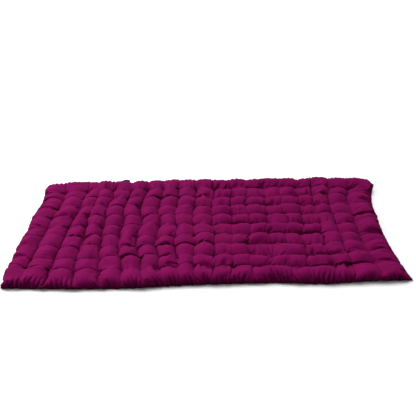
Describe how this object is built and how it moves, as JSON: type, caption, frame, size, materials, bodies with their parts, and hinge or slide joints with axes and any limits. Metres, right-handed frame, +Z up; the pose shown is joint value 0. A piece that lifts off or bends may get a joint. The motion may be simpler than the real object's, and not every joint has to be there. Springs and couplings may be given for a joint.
{
  "type": "futon mattress",
  "caption": "Thin hand-quilted cotton floor mattress: a sewn cloth bag filled with batting sheets and pulled into rows of soft rolls by quilting threads.",
  "frame": {"origin": "on the floor, at the middle of the underside's bounding box", "axes": "+X along the length, +Y along the width towards the edge that carries the tab, +Z up"},
  "size_m": [2, 0.9, 0.07],
  "materials": {
    "cover_cloth": "plain-weave cotton dyed magenta",
    "cotton_batting": "carded cotton",
    "quilting_thread": "twisted cotton thread",
    "label_cloth": "woven satin tab, blank"
  },
  "bodies": {
    "root": {"top_cover_panel": "cover_cloth", "bottom_cover_panel": "cover_cloth", "batting_sheet_lower": "cotton_batting", "batting_sheet_middle": "cotton_batting", "batting_sheet_upper": "cotton_batting", "edge_seam_thread": "quilting_thread", "closing_seam_thread": "quilting_thread", "border_quilting_thread_outer": "quilting_thread", "border_quilting_thread_inner": "quilting_thread", "field_quilting_thread_1": "quilting_thread", "field_quilting_thread_2": "quilting_thread", "field_quilting_thread_3": "quilting_thread", "field_quilting_thread_4": "quilting_thread", "field_quilting_thread_5": "quilting_thread", "side_label": "label_cloth"}
  },
  "joints": []
}
